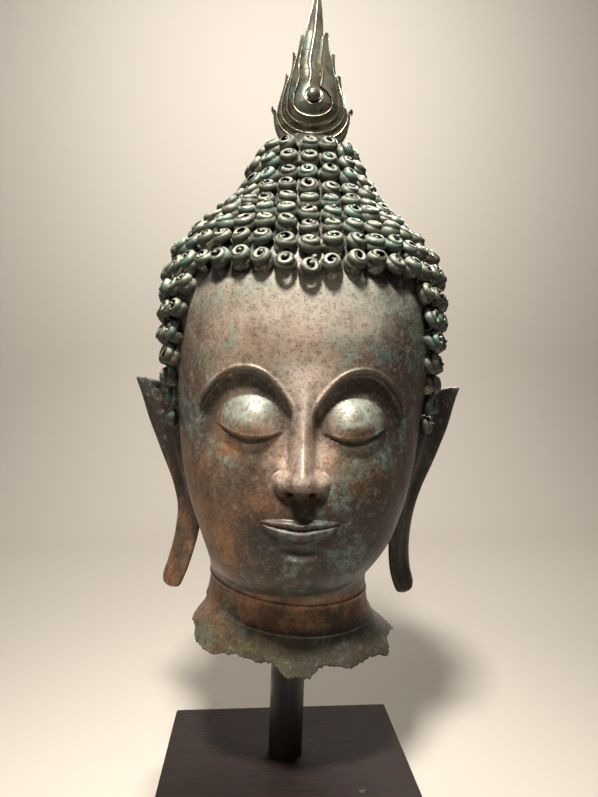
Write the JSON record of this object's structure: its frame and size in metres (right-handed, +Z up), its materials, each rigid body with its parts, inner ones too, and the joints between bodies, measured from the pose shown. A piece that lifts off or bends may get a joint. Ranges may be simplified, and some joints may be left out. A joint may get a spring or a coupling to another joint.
{
  "type": "buddha head sculpture",
  "caption": "Bronze Buddha head with snail-shell curls, long ears and a flame finial, broken at the neck and held by a round post in a square dark wooden block.",
  "frame": {"origin": "centre of the block's underside", "axes": "+Z up, +X to the viewer's right, the face looks along -Y"},
  "size_m": [0.3099, 0.2721, 0.7428],
  "materials": {
    "bronze": "aged, green and red-brown patina",
    "pale_bronze": "bare grey-brown bronze with golden edges",
    "dark_paint": "satin, worn",
    "black_stain": "black stain, worn at the edges"
  },
  "bodies": {
    "root": {"bronze_head": "bronze", "flame_finial": "pale_bronze", "post": "dark_paint", "base_block": "black_stain"}
  },
  "joints": []
}
